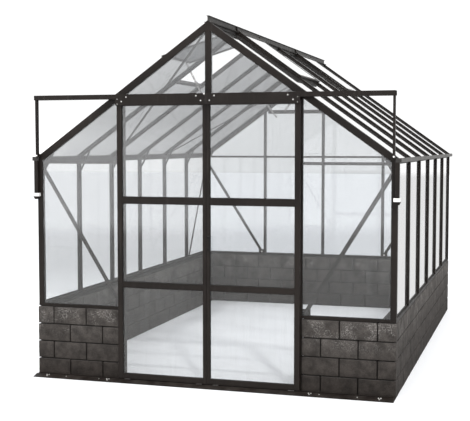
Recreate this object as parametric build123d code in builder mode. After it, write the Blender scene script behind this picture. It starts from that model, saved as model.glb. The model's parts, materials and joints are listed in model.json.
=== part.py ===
from build123d import *
import os
from math import atan2, cos, degrees, radians, sin, tan

# Walk-in greenhouse: a glazed aluminium house on a low block wall, with two sliding doors in the
# front gable and four hinged roof vents. Millimetres, +Z up, +Y towards the rear.
# The origin is on the ground, under the middle of the whole outline, ramp included.

# ---------------------------------------------------------------- driving dimensions
WIDTH = 2570.0  # over the wall
LENGTH = 3810.0  # over the wall
RIDGE_Z = 2486.0  # apex of the gable rafters
EAVE_Z = 1568.0  # roof surface above the wall's outer face
BAY = 620.0  # spacing of the glazing bars, for 610 mm glass
COURSE = 125.0  # block height with its bed joint
COURSES = 4
JOINT = 5.0
BLOCK = 250.0  # block length with its joint
WALL_T = 120.0
FRAME_INSET = 12.0  # gable frames behind the faces of their walls
SIDE_INSET = 2.0  # side frames behind the faces of their walls
MEMBER = 38.0  # face and depth of posts and rails
BAR_DEPTH = 30.0  # depth of the glazing bars
RAFTER_W = 44.0
RIDGE_HALF = 12.0
SILL_T = 18.0
TRACK_DEPTH = 90.0  # ramp in front of the wall
FIT = 0.5  # clearance round a pane
SEAM = 0.2  # hairline between two members that butt
HEAD_TOP = 1999.0
BLOCK_EASE = 2.5  # chamfer along a block's edges
MORTAR_RAKE = 14.0  # how far the joints are raked out
VENT_OPEN = 19.0  # degrees, the front left vent at rest
STAY_LENGTH = 300.0

# ---------------------------------------------------------------- places that follow from them
HALF_W = WIDTH / 2
FRONT = -(LENGTH + TRACK_DEPTH) / 2 + TRACK_DEPTH
REAR = (LENGTH + TRACK_DEPTH) / 2
MIDDLE_Y = (FRONT + REAR) / 2
FRAME_X = HALF_W - SIDE_INSET
FRAME_FRONT = FRONT + FRAME_INSET
FRAME_REAR = REAR - FRAME_INSET
WALL_TOP = COURSES * COURSE
SILL_TOP = WALL_TOP + SILL_T
PITCH = atan2(RIDGE_Z - EAVE_Z, HALF_W)
BAR_YS = [MIDDLE_Y + BAY * (i - 3) for i in range(1, 6)]
SIDES = (-1, 1)

# Glazing bar: outer cap, neck between panes, shoulder, web, slotted bolt channel.
FLANGE_W = 32.0
FLANGE_T = 3.0
CAP_T = 13.0  # depth of the outer cap on side and roof bars
NECK_W = 8.0
NECK_T = 6.0
SHOULDER_W = 28.0
WEB_W = 5.0
CHANNEL_W = 18.0
CHANNEL_T = 10.0
SLOT = 7.0
PANE_T = 4.0
PANE_DEPTH = 4.0  # outer face of a gable pane behind the frame face
BAY_PANE_DEPTH = 14.0  # the same for the side and roof panes

# Doors, one leaf described from its meeting edge outwards.
STILE_INNER = 24.0
STILE_OUTER = 36.0
LEAF_OUTER_X = 650.0
LEAF_GAP = 1.0
LEAF_T = 26.0
LEAF_BOTTOM = 20.0
LEAF_TOP = 1950.0
LEAF_BACK = FRONT - 6
LEAF_FRONT = LEAF_BACK - LEAF_T
LEAF_MID = (LEAF_BACK + LEAF_FRONT) / 2
RAIL_ZS = [(LEAF_BOTTOM, 57.0), (662.0, 703.0), (1248.0, 1294.0), (1923.0, LEAF_TOP)]
POST_INNER_X = 618.0
POST_OUTER_X = 654.0
TRACK_Z = HEAD_TOP - 32.0
TRACK_HALF_X = HALF_W - 13
TRACK_WALL = 3.0
ROLLER_R = 11.0
ROLLER_W = 12.0
AXLE_R = 3.0
ROLLER_XS = (60.0, 590.0)
RUN_CLEAR = 0.06
ROLLER_Z = TRACK_Z + TRACK_WALL + ROLLER_R + 0.1
HEAD_PLATE_Z = 1923.0
HEAD_PLATE_T = 3.0
TRACK_FRONT = 2 * LEAF_MID - FRAME_FRONT
STRUT_X = (1255.0, 1270.0)
STRUT_DEPTH = 28.0
STRUT_FRONT = LEAF_MID - 21.0
STRUT_BOTTOM = 1566.0
STRUT_FOOT = 22.0  # height of the foot that reaches back to the rafter
RAMP_LIP = 2.0
RAMP_TOP = 16.0
GUIDE_SLOT = 22.0
SLOT_EDGE = 6.0  # flat land each side of the guide groove
HANDLE_ZS = (942.0, 1037.0)

# Gutters and their outlets.
GUTTER_OUT = 26.0
GUTTER_BOTTOM = 1540.0
GUTTER_TOP = 1568.0
GUTTER_T = 3.0
GUTTER_LIP = 9.0
GUTTER_UPSTAND = 5.0
OUTLET_X = 12.0  # inwards of the frame face
OUTLET_REACH = 28.0  # forward of the gable frame
GUTTER_OVERRUN = 7.0  # past the rear frame
PIPE_X = FRAME_X
PIPE_Y = FRAME_FRONT - 15.0
PIPE_SIZE = (28.0, 28.0)
PIPE_T = 2.5
PIPE_BOTTOM = 1311.0
COLLAR_T = 23.0
SPOUT_DROP = 21.0

# Braces and gusset plates.
BRACE_W = 28.0
KNEE_W = 14.0
KNEE_DEPTH = 29.5  # its middle line, in from the bars' outer faces
BRACE_T = 4.0
GUSSET_T = 3.0
GUSSET_LEG = 72.0
BRACE_TOP = (FRAME_X - 33, 1474.0)  # X and Z in the gables
BRACE_FOOT_Z = 534.0
FRONT_FOOT_X = POST_OUTER_X + 18
REAR_FOOT_X = BAY + 24
SIDE_BRACE_TOP_Z = 1498.0
ROOF_BRACE_S = (70.0, 1500.0)
KNEE_FOOT_Z = 1468.0
KNEE_TOP_S = 1478.0
TRANSOM_Z = 1520.0
TRANSOM_TALL = 20.0
HIGH_TRANSOM_Z = 1978.0
EAVE_RAIL_BOTTOM = 1520.0
EAVE_RAIL_DEPTH = 28.0
EAVE_REBATE_Z = 1541.0  # the side panes and the bars' caps run up to here, outside the rail

# Bolt heads: X and Z on the head plates, X and distance up the slope on the ramp.
PLATE_BOLTS = ((570, 1980), (605, 1949), (64, 1982), (31, 1950))
RAMP_CLUSTERS = (724, 1188)
RAMP_SINGLES = (789, 1042)

# Vents, in distances down the slope (s) from the apex and out from the roof surface (h).
PANE_TOP_S = 30.0  # upper edge of the full-length roof panes
HINGE_S = 15.0
HINGE_H = 9.5
SASH_TOP_S = 32.0
SASH_END_S = 602.0
SASH_RAIL = 22.0
SASH_LOW_H = 2.0
SASH_HIGH_H = 13.0
SASH_PANE_H = 7.0
TRIMMER_S = 582.0
TRIMMER_W = 24.0
STAY_S = 562.0
STAY_H = -6.0
STAY_T = 4.0
STAY_W = 14.0
STAY_PLACE = 0.64  # of the bay, counted from its front bar
VENTS = {
    "vent_left_front": (-1, 0, VENT_OPEN),
    "vent_left_rear": (-1, 3, 0.0),
    "vent_right_front": (1, 0, 0.0),
    "vent_right_rear": (1, 3, 0.0),
}


# ---------------------------------------------------------------- geometry helpers
def roof_z(x):
    """Height of the roof surface at a distance from the centre line."""
    return RIDGE_Z - abs(x) * tan(PITCH)


def under_z(x):
    """Height of the gable rafters' lower edge."""
    return roof_z(x) - RAFTER_W / cos(PITCH)


def under_x(z):
    """Distance from the centre line at which the rafters' lower edge is this high."""
    return (under_z(0) - z) / tan(PITCH)


def slope(side, s, h):
    """A point s down the slope and h out of it, as X and Z."""
    x = s * cos(PITCH) + h * sin(PITCH)
    z = RIDGE_Z - s * sin(PITCH) + h * cos(PITCH)
    return (side * x, z)


def turned(s, h, angle, centre=(HINGE_S, HINGE_H)):
    """The point (s, h) turned outwards about a centre, the vent's hinge unless another is given."""
    a = radians(angle)
    ds = s - centre[0]
    dh = h - centre[1]
    return (centre[0] + ds * cos(a) - dh * sin(a), centre[1] + ds * sin(a) + dh * cos(a))


def cross_section(y):
    """The X-Z plane at y, looking towards the rear: its sketch axes are +X and +Z."""
    return Plane(origin=(0, y, 0), x_dir=(1, 0, 0), z_dir=(0, -1, 0))


def plate(points, y_low, y_high, mode=Mode.ADD):
    """A plate of the given X-Z outline between two values of Y."""
    with BuildSketch(cross_section(y_high)) as outline:
        Polygon(*points, align=None)
    extrude(outline.sketch, amount=y_high - y_low, mode=mode)


def block(low, high):
    """A box between two opposite corners."""
    middle = [(a + b) / 2 for a, b in zip(low, high)]
    size = [b - a for a, b in zip(low, high)]
    with Locations(tuple(middle)):
        Box(*size)


def mirrored(side, low_x, high_x):
    """An X range given for the right-hand side, on either side, in rising order."""
    return (low_x, high_x) if side > 0 else (-high_x, -low_x)


def bar_profile(cap):
    """The section of a glazing bar with a cap this deep: the sketch's +Y points indoors."""
    edge = (Align.CENTER, Align.MIN)
    Rectangle(FLANGE_W, cap, align=edge)
    with Locations((0, cap)):
        Rectangle(NECK_W, NECK_T, align=edge)
    with Locations((0, cap + NECK_T)):
        Rectangle(SHOULDER_W, FLANGE_T, align=edge)
        Rectangle(WEB_W, BAR_DEPTH - cap - NECK_T, align=edge)
    with Locations((0, BAR_DEPTH - CHANNEL_T)):
        Rectangle(CHANNEL_W, CHANNEL_T, align=edge)
    with Locations((0, BAR_DEPTH - SLOT)):
        Rectangle(SLOT, SLOT, align=edge, mode=Mode.SUBTRACT)


# ---------------------------------------------------------------- dwarf wall
def course_cuts(start, end):
    """Block ends along one course, laid from start towards end."""
    step = BLOCK if end > start else -BLOCK
    cuts = [start]
    while abs(end - cuts[-1]) > BLOCK * 1.1:
        cuts.append(cuts[-1] + step)
    return cuts + [end]


def wall_runs():
    """Every run of blocks: wall name, height of its foot, axis, span along it and the wall's depth."""
    runs = []
    for course in range(COURSES):
        z = course * COURSE
        sides_run_through = course % 2 == 1
        corner = WALL_T + JOINT
        side_inset = 0 if sides_run_through else corner
        front_inset = corner if sides_run_through else 0
        for side in SIDES:
            name = "wall_left" if side < 0 else "wall_right"
            depth = mirrored(side, HALF_W - WALL_T, HALF_W)
            runs.append((name, z, "Y", FRONT + side_inset, REAR - side_inset, depth))
            outer = side * (HALF_W - front_inset)
            inner = side * (POST_OUTER_X + 1)
            runs.append(("wall_front", z, "X", outer, inner, (FRONT, FRONT + WALL_T)))
        span = HALF_W - front_inset
        runs.append(("wall_rear", z, "X", -span, span, (REAR - WALL_T, REAR)))
    return runs


def lay(axis, low, high, depth, z_low, z_high):
    """A box along one wall."""
    if axis == "X":
        block((low, depth[0], z_low), (high, depth[1], z_high))
    else:
        block((depth[0], low, z_low), (depth[1], high, z_high))


def make_wall(wanted):
    """The separate blocks of one wall, each with eased edges."""
    with BuildPart() as wall:
        for name, z, axis, start, end, depth in wall_runs():
            if name != wanted:
                continue
            cuts = course_cuts(start, end)
            for a, b in zip(cuts, cuts[1:]):
                low, high = sorted((a, b))
                low += JOINT / 2 if low > min(start, end) else 0
                high -= JOINT / 2 if high < max(start, end) else 0
                lay(axis, low, high, depth, z, z + COURSE - JOINT)
        chamfer(wall.edges(), BLOCK_EASE)
    return wall


def make_mortar():
    """Raked joints: a bed over each course, upright joints between blocks and at butted corners."""
    foot = 3.0
    with BuildPart() as mortar:
        for name, z, axis, start, end, depth in wall_runs():
            inner = (depth[0] + MORTAR_RAKE, depth[1] - MORTAR_RAKE)
            cuts = course_cuts(start, end)
            low, high = sorted((start, end))
            bottom = max(z, foot)
            top = z + COURSE
            lay(axis, low + MORTAR_RAKE, high - MORTAR_RAKE, inner, top - JOINT, top)
            for cut in cuts[1:-1]:
                lay(axis, cut - JOINT / 2, cut + JOINT / 2, inner, bottom, top - JOINT)
            corners = (-HALF_W, HALF_W) if axis == "X" else (FRONT, REAR)
            for end_at, outwards in ((low, -1), (high, 1)):
                if min(abs(end_at - corner) for corner in corners) == WALL_T + JOINT:
                    span = sorted((end_at, end_at + outwards * JOINT))
                    lay(axis, *span, inner, bottom, top - JOINT)
    return mortar


# ---------------------------------------------------------------- frame
def make_sill_rails():
    with BuildPart() as rails:
        for side in SIDES:
            x_low, x_high = mirrored(side, FRAME_X - MEMBER, FRAME_X)
            block((x_low, FRAME_FRONT, WALL_TOP), (x_high, FRAME_REAR, SILL_TOP))
            x_low, x_high = mirrored(side, POST_OUTER_X + SEAM, FRAME_X - MEMBER - SEAM)
            block((x_low, FRAME_FRONT, WALL_TOP), (x_high, FRAME_FRONT + MEMBER, SILL_TOP))
        inner = FRAME_X - MEMBER - SEAM
        block((-inner, FRAME_REAR - MEMBER, WALL_TOP), (inner, FRAME_REAR, SILL_TOP))
    return rails


def gable_depths():
    """The Y ranges of the front and the rear gable frames."""
    return ((FRAME_FRONT, FRAME_FRONT + MEMBER), (FRAME_REAR - MEMBER, FRAME_REAR))


def make_corner_posts():
    inner = FRAME_X - MEMBER
    with BuildPart() as posts:
        for y_low, y_high in gable_depths():
            for side in SIDES:
                outline = [
                    (side * inner, SILL_TOP),
                    (side * FRAME_X, SILL_TOP),
                    (side * FRAME_X, under_z(FRAME_X)),
                    (side * inner, under_z(inner)),
                ]
                plate(outline, y_low, y_high)
        chamfer(posts.edges().filter_by(Axis.Z), 1.5)
    return posts


def make_gable_rafters():
    with BuildPart() as rafters:
        for y_low, y_high in gable_depths():
            for side in SIDES:
                outline = [
                    (side * SEAM, roof_z(SEAM)),
                    (side * FRAME_X, roof_z(FRAME_X)),
                    (side * FRAME_X, under_z(FRAME_X)),
                    (side * SEAM, under_z(SEAM)),
                ]
                plate(outline, y_low, y_high)
    return rafters


def make_door_posts():
    """Posts from the ground to the head beam, each side of the doorway."""
    y_low, y_high = gable_depths()[0]
    with BuildPart() as posts:
        for side in SIDES:
            x_low, x_high = mirrored(side, POST_INNER_X, POST_OUTER_X)
            block((x_low, y_low, 0), (x_high, y_high, HEAD_TOP - MEMBER))
    return posts


def make_door_head_beam():
    low = HEAD_TOP - MEMBER
    with BuildPart() as beam:
        outline = [
            (-POST_OUTER_X, low),
            (POST_OUTER_X, low),
            (POST_OUTER_X, under_z(POST_OUTER_X)),
            (under_x(HEAD_TOP), HEAD_TOP),
            (-under_x(HEAD_TOP), HEAD_TOP),
            (-POST_OUTER_X, under_z(POST_OUTER_X)),
        ]
        plate(outline, *gable_depths()[0])
    return beam


def make_front_mullion():
    half = MEMBER / 2
    with BuildPart() as mullion:
        outline = [
            (-half, HEAD_TOP),
            (half, HEAD_TOP),
            (half, under_z(half)),
            (0, under_z(0)),
            (-half, under_z(half)),
        ]
        plate(outline, *gable_depths()[0])
    return mullion


def make_rear_gable_bars():
    """Three glazing bars whose tops are cut to the rafters."""
    plane = Plane(origin=(0, FRAME_REAR, SILL_TOP), x_dir=(-1, 0, 0), z_dir=(0, 0, 1))
    with BuildPart() as bars:
        with BuildSketch(plane) as section:
            with GridLocations(BAY, 0, 3, 1):
                bar_profile(FLANGE_T)
        extrude(amount=RIDGE_Z - SILL_TOP)
        above = [
            (-HALF_W, under_z(HALF_W)),
            (0, under_z(0)),
            (HALF_W, under_z(HALF_W)),
            (HALF_W, RIDGE_Z + 1),
            (-HALF_W, RIDGE_Z + 1),
        ]
        plate(above, FRAME_REAR - 2 * MEMBER, FRAME_REAR + MEMBER, mode=Mode.SUBTRACT)
    return bars


def make_gable_transoms():
    """Thin rails behind the gable glass, just under the eaves and across the rear's middle bays."""
    tall = TRANSOM_TALL
    z = TRANSOM_Z
    clear = 1.0
    high_z = HIGH_TRANSOM_Z
    behind_glass = PANE_DEPTH + PANE_T + 4
    with BuildPart() as transoms:
        y_low = FRAME_FRONT + behind_glass
        y_high = FRAME_FRONT + MEMBER - 2
        edge = under_x(z + tall) - clear
        for side in SIDES:
            x_low, x_high = mirrored(side, POST_OUTER_X + SEAM, min(edge, FRAME_X - MEMBER - SEAM))
            block((x_low, y_low, z), (x_high, y_high, z + tall))
        y_low, y_high = FRAME_REAR - BAR_DEPTH + 2, FRAME_REAR - behind_glass
        web = CHANNEL_W / 2 + SEAM
        high_edge = under_x(high_z + MEMBER) - clear
        for side in SIDES:
            x_low, x_high = mirrored(side, web, BAY - web)
            block((x_low, y_low, z), (x_high, y_high, z + tall))
            x_low, x_high = mirrored(side, web, min(high_edge, BAY - web))
            block((x_low, y_low, high_z), (x_high, y_high, high_z + MEMBER))
            x_low, x_high = mirrored(side, BAY + web, min(edge, FRAME_X - MEMBER - SEAM))
            block((x_low, y_low, z), (x_high, y_high, z + tall))
    return transoms


def under_pane_z(x, clear):
    """Height of a line parallel to the roof, this far under its panes."""
    return roof_z(x) - (BAY_PANE_DEPTH + PANE_T + clear) / cos(PITCH)


def make_eave_rails():
    """Rails between the gables, rebated for the side panes and sloped on top under the roof panes."""
    end_gap = MEMBER + GUSSET_T + SEAM
    inner = FRAME_X - EAVE_RAIL_DEPTH
    rebate_x = FRAME_X - BAY_PANE_DEPTH - PANE_T - 1
    outline = [
        (inner, EAVE_RAIL_BOTTOM),
        (rebate_x, EAVE_RAIL_BOTTOM),
        (rebate_x, EAVE_REBATE_Z),
        (FRAME_X, EAVE_REBATE_Z),
        (FRAME_X, under_pane_z(FRAME_X, 1)),
        (inner, under_pane_z(inner, 1)),
    ]
    with BuildPart() as rails:
        for side in SIDES:
            points = [(side * x, z) for x, z in outline]
            plate(points, FRAME_FRONT + end_gap, FRAME_REAR - end_gap)
        lengthways = rails.edges().filter_by(Axis.Y)
        in_rebate = [
            edge
            for edge in lengthways
            if abs(abs(edge.center().X) - rebate_x) < 1 and abs(edge.center().Z - EAVE_REBATE_Z) < 1
        ]
        chamfer([edge for edge in lengthways if edge not in in_rebate], 1.5)
    return rails


def make_side_bars():
    """Upright glazing bars of both long sides."""
    height = EAVE_REBATE_Z - SEAM - SILL_TOP
    behind_x = FRAME_X - BAY_PANE_DEPTH - PANE_T - 1 + SEAM
    with BuildPart() as bars:
        for side in SIDES:
            corner = (side * FRAME_X, MIDDLE_Y, SILL_TOP)
            plane = Plane(origin=corner, x_dir=(0, side, 0), z_dir=(0, 0, 1))
            with BuildSketch(plane):
                with GridLocations(BAY, 0, 5, 1):
                    bar_profile(CAP_T)
            extrude(amount=height)
        for side in SIDES:
            x_low, x_high = mirrored(side, FRAME_X - MEMBER, behind_x)
            with Locations(((x_low + x_high) / 2, MIDDLE_Y, EAVE_RAIL_BOTTOM + 20)):
                Box(x_high - x_low, LENGTH, 40, mode=Mode.SUBTRACT)
    return bars


def make_roof_bars():
    """Roof glazing bars of both slopes, cut at the ridge beam and notched over the eave rails."""
    length = HALF_W / cos(PITCH) + MEMBER
    inner = FRAME_X - EAVE_RAIL_DEPTH - SEAM
    clear = 1 - SEAM
    notch = [
        (inner, EAVE_RAIL_BOTTOM),
        (HALF_W + MEMBER, EAVE_RAIL_BOTTOM),
        (HALF_W + MEMBER, under_pane_z(HALF_W + MEMBER, clear)),
        (inner, under_pane_z(inner, clear)),
    ]
    with BuildPart() as bars:
        for side in SIDES:
            down = (side * cos(PITCH), 0, -sin(PITCH))
            plane = Plane(origin=(0, MIDDLE_Y, RIDGE_Z), x_dir=(0, -side, 0), z_dir=down)
            with BuildSketch(plane):
                with GridLocations(BAY, 0, 5, 1):
                    bar_profile(CAP_T)
            extrude(amount=length)
            points = [(side * x, z) for x, z in notch]
            plate(points, FRAME_FRONT, FRAME_REAR, mode=Mode.SUBTRACT)
        with Locations((0, MIDDLE_Y, RIDGE_Z)):
            Box(2 * RIDGE_HALF + 2 * SEAM, LENGTH, 4 * MEMBER, mode=Mode.SUBTRACT)
        split(bisect_by=Plane.YZ.offset(FRAME_X - SEAM), keep=Keep.BOTTOM)
        split(bisect_by=Plane.YZ.offset(SEAM - FRAME_X), keep=Keep.TOP)
    return bars


def make_ridge_beam():
    top = roof_z(RIDGE_HALF) - FLANGE_T
    with BuildPart() as beam:
        low = (-RIDGE_HALF, FRAME_FRONT + MEMBER, top - 70)
        block(low, (RIDGE_HALF, FRAME_REAR - MEMBER, top))
        chamfer(beam.edges().filter_by(Axis.Y), 1.5)
    return beam


def make_ridge_cap():
    """Upright fin with a small head, and a wing each side whose upturned lip holds the vents' beads."""
    web = 3.0
    head = 9.0
    top = RIDGE_Z + 35
    wing = 26.0
    lip_h = 9.0
    half = [
        (0, RIDGE_Z + 1 / cos(PITCH)),
        slope(1, wing, 1),
        slope(1, wing, lip_h),
        slope(1, wing - 3, lip_h),
        slope(1, wing - 3, 4),
        (web, RIDGE_Z + 4 / cos(PITCH) - web * tan(PITCH)),
        (web, top - 7),
        (head, top - 4),
        (head, top),
        (0, top),
    ]
    with BuildPart() as cap:
        with BuildSketch(cross_section(FRAME_REAR)):
            with BuildLine():
                Polyline(*half)
                mirror(about=Plane.YZ)
            make_face()
        extrude(amount=FRAME_REAR - FRAME_FRONT)
    return cap


# ---------------------------------------------------------------- gutters and downpipes
def make_gutters():
    """Channels screwed to the eave rails by their backs, each with an outlet box at the front."""
    with BuildPart() as gutters:
        for side in SIDES:
            back = FRAME_X
            out = FRAME_X + GUTTER_OUT
            outline = [
                (back, GUTTER_BOTTOM),
                (out, GUTTER_BOTTOM),
                (out, GUTTER_TOP),
                (out - GUTTER_LIP, GUTTER_TOP),
                (out - GUTTER_LIP, GUTTER_TOP - GUTTER_T),
                (out - GUTTER_T, GUTTER_TOP - GUTTER_T),
                (out - GUTTER_T, GUTTER_BOTTOM + GUTTER_T),
                (back + GUTTER_T, GUTTER_BOTTOM + GUTTER_T),
                (back + GUTTER_T, GUTTER_BOTTOM + GUTTER_UPSTAND),
                (back, GUTTER_BOTTOM + GUTTER_UPSTAND),
            ]
            points = [(side * x, z) for x, z in outline]
            plate(points, FRAME_FRONT + SEAM, FRAME_REAR + GUTTER_OVERRUN)
            x_low, x_high = mirrored(side, back, out)
            y = FRAME_REAR + GUTTER_OVERRUN + SEAM
            block((x_low, y, GUTTER_BOTTOM), (x_high, y + GUTTER_T, GUTTER_TOP))
            x_low, x_high = mirrored(side, FRAME_X - OUTLET_X, out)
            y_low, y_high = FRAME_FRONT - OUTLET_REACH, FRAME_FRONT - SEAM
            block((x_low, y_low, GUTTER_BOTTOM), (x_high, y_high, GUTTER_TOP))
    return gutters


def make_downpipes():
    """Short rectangular outlets under the gutters, each with a tapered spout."""
    spout_top = PIPE_BOTTOM - COLLAR_T
    with BuildPart() as pipes:
        with BuildSketch(Plane.XY.offset(PIPE_BOTTOM)):
            with Locations((-PIPE_X, PIPE_Y), (PIPE_X, PIPE_Y)):
                RectangleRounded(*PIPE_SIZE, 4)
                Rectangle(PIPE_SIZE[0] - 2 * PIPE_T, PIPE_SIZE[1] - 2 * PIPE_T, mode=Mode.SUBTRACT)
        extrude(amount=GUTTER_BOTTOM - PIPE_BOTTOM)
        for side in SIDES:
            with BuildSketch(Plane.XY.offset(spout_top)) as wide:
                with Locations((side * (PIPE_X + 3), PIPE_Y)):
                    RectangleRounded(40, 28, 6)
            with BuildSketch(Plane.XY.offset(spout_top - SPOUT_DROP)) as narrow:
                with Locations((side * (PIPE_X + 4), PIPE_Y)):
                    RectangleRounded(20, 20, 6)
            loft([wide.sketch.face(), narrow.sketch.face()])
    return pipes


def make_downpipe_collars():
    """Pale collars that clip the outlets to the corner posts."""
    with BuildPart() as collars:
        for side in SIDES:
            x_low, x_high = mirrored(side, PIPE_X - 24, PIPE_X + 19)
            low = (x_low, PIPE_Y - 18, PIPE_BOTTOM - COLLAR_T)
            block(low, (x_high, FRAME_FRONT - SEAM, PIPE_BOTTOM))
        chamfer(collars.edges().filter_by(Axis.Z), 3)
    return collars


# ---------------------------------------------------------------- braces
def strap(start, end, plane, width=BRACE_W):
    """A flat strap with round ends between two points of a plane, in the part being built."""
    run = Vector(*end) - Vector(*start)
    middle = (Vector(*start) + Vector(*end)) / 2
    turn = degrees(atan2(run.Y, run.X))
    with BuildSketch(plane) as outline:
        with Locations(Location((middle.X, middle.Y), turn)):
            SlotCenterToCenter(run.length, width)
    extrude(outline.sketch, amount=BRACE_T)


def knee_y(index):
    """The near face of a knee brace, on the side of its bar that the roof braces leave free."""
    offset = CHANNEL_W / 2
    return BAR_YS[index] + offset if index < 3 else BAR_YS[index] - offset - BRACE_T


def make_knee_braces():
    """A strap across the inside of each eave, from side bar to roof bar."""
    with BuildPart() as braces:
        for index in range(5):
            for side in SIDES:
                foot = (side * (FRAME_X - KNEE_DEPTH), KNEE_FOOT_Z)
                top = slope(side, KNEE_TOP_S, -KNEE_DEPTH)
                strap(foot, top, cross_section(knee_y(index) + BRACE_T), KNEE_W)
    return braces


def make_wind_braces():
    """Diagonal straps: in both gables, in the rear bay of each side and two in each roof slope."""
    inside_front = FRAME_FRONT + MEMBER + GUSSET_T + BRACE_T
    inside_rear = FRAME_REAR - MEMBER - GUSSET_T
    with BuildPart() as braces:
        for side in SIDES:
            top = (side * BRACE_TOP[0], BRACE_TOP[1])
            strap(top, (side * FRONT_FOOT_X, BRACE_FOOT_Z), cross_section(inside_front))
            strap(top, (side * REAR_FOOT_X, BRACE_FOOT_Z), cross_section(inside_rear))
            inner = side * (FRAME_X - BAR_DEPTH)
            plane = Plane(origin=(inner, 0, 0), x_dir=(0, -side, 0), z_dir=(-side, 0, 0))
            corner = (-side * (FRAME_REAR - MEMBER - 24), SIDE_BRACE_TOP_Z)
            strap(corner, (-side * (BAR_YS[4] + 26), BRACE_FOOT_Z), plane)
            roof = Plane(
                origin=(slope(side, 0, -BAR_DEPTH)[0], 0, slope(side, 0, -BAR_DEPTH)[1]),
                x_dir=(side * cos(PITCH), 0, -sin(PITCH)),
                z_dir=(-side * sin(PITCH), 0, -cos(PITCH)),
            )
            across = roof.y_dir.Y
            high_s, low_s = ROOF_BRACE_S
            for bar_y, end_y in (
                (BAR_YS[1] - 6, FRAME_FRONT + MEMBER + 24),
                (BAR_YS[3] + 6, FRAME_REAR - MEMBER - 24),
            ):
                strap((low_s, across * bar_y), (high_s, across * end_y), roof)
    return braces


def make_gusset_plates():
    """Triangular plates at the eave corners of both gables and small plates at the braces' feet."""
    inner = FRAME_X - MEMBER
    outer = FRAME_X - BAY_PANE_DEPTH - PANE_T - 2
    leg = GUSSET_LEG
    faces = (
        (FRAME_FRONT + MEMBER, FRONT_FOOT_X),
        (FRAME_REAR - MEMBER - GUSSET_T, REAR_FOOT_X),
    )
    with BuildPart() as plates:
        for y, foot_x in faces:
            for side in SIDES:
                corner = [
                    (side * outer, under_z(outer) + 6),
                    (side * outer, under_z(inner) - leg),
                    (side * (inner - 6), under_z(inner) - leg),
                    (side * (inner - leg), under_z(inner - leg) - 6),
                    (side * (inner - leg), under_z(inner - leg) + 24),
                ]
                plate(corner, y, y + GUSSET_T)
                x_low, x_high = mirrored(side, foot_x - 20, foot_x + 34)
                block((x_low, y, SILL_TOP - 14), (x_high, y + GUSSET_T, SILL_TOP + 40))
    return plates


# ---------------------------------------------------------------- fixed glass
def bay_spans():
    """Clear Y ranges between necks of the bars and faces of the gable frames."""
    neck = NECK_W / 2
    lows = [FRAME_FRONT + MEMBER] + [y + neck for y in BAR_YS]
    highs = [y - neck for y in BAR_YS] + [FRAME_REAR - MEMBER]
    return [(low + FIT, high - FIT) for low, high in zip(lows, highs)]


def make_side_glass():
    x_outer = FRAME_X - BAY_PANE_DEPTH
    top = EAVE_REBATE_Z - FIT
    with BuildPart() as glass:
        for side in SIDES:
            x_low, x_high = mirrored(side, x_outer - PANE_T, x_outer)
            for y_low, y_high in bay_spans():
                block((x_low, y_low, SILL_TOP + FIT), (x_high, y_high, top))
    return glass


def slope_box(side, s_low, s_high, h_low, h_high):
    """The outline of a bar or pane lying along the slope."""
    corners = ((s_low, h_low), (s_high, h_low), (s_high, h_high), (s_low, h_high))
    return [slope(side, s, h) for s, h in corners]


def make_roof_glass():
    """Roof panes; those in the vent bays start below the trimmer."""
    h_high = -BAY_PANE_DEPTH
    h_low = h_high - PANE_T
    drip_s = (FRAME_X + 12) / cos(PITCH)
    vent_bays = [(side, index + 1) for side, index, _ in VENTS.values()]
    with BuildPart() as glass:
        for side in SIDES:
            for bay, (y_low, y_high) in enumerate(bay_spans()):
                top_s = TRIMMER_S + TRIMMER_W + FIT if (side, bay) in vent_bays else PANE_TOP_S
                plate(slope_box(side, top_s, drip_s, h_low, h_high), y_low, y_high)
    return glass


def make_gable_glass():
    """Panes cut to the rafters: front side bays, front top triangles, and four rear bays."""
    inner = FRAME_X - MEMBER
    sill = SILL_TOP + FIT
    front = (FRAME_FRONT + PANE_DEPTH, FRAME_FRONT + PANE_DEPTH + PANE_T)
    rear = (FRAME_REAR - PANE_DEPTH - PANE_T, FRAME_REAR - PANE_DEPTH)
    neck = NECK_W / 2
    mullion = MEMBER / 2
    uprights = (
        (front, POST_OUTER_X, inner, sill),
        (rear, neck, BAY - neck, sill),
        (rear, BAY + neck, inner, sill),
    )
    with BuildPart() as glass:
        for side in SIDES:
            for depth, x_low, x_high, bottom in uprights:
                a = x_low + FIT
                b = x_high - FIT
                outline = [(a, bottom), (b, bottom), (b, under_z(b) - 1), (a, under_z(a) - 1)]
                plate([(side * x, z) for x, z in outline], *depth)
            a = mullion + FIT
            low = HEAD_TOP + FIT
            triangle = [(a, low), (under_x(low) - 2, low), (a, under_z(a) - 1)]
            plate([(side * x, z) for x, z in triangle], *front)
    return glass


# ---------------------------------------------------------------- door tracks
def make_door_track():
    """Head track: a downward-facing channel, its back against the gable frame."""
    y_high = FRAME_FRONT
    y_low = 2 * LEAF_MID - y_high
    plane = Plane(origin=(-TRACK_HALF_X, 0, 0), x_dir=(0, 1, 0), z_dir=(1, 0, 0))
    with BuildPart() as track:
        with BuildSketch(plane):
            with Locations((LEAF_MID, (TRACK_Z + HEAD_TOP) / 2)):
                Rectangle(y_high - y_low, HEAD_TOP - TRACK_Z)
                Rectangle(
                    y_high - y_low - 2 * TRACK_WALL,
                    HEAD_TOP - TRACK_Z - 2 * TRACK_WALL,
                    mode=Mode.SUBTRACT,
                )
            with Locations((LEAF_MID, TRACK_Z)):
                Rectangle(10, 10, mode=Mode.SUBTRACT)
        extrude(amount=2 * TRACK_HALF_X)
    return track


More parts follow.
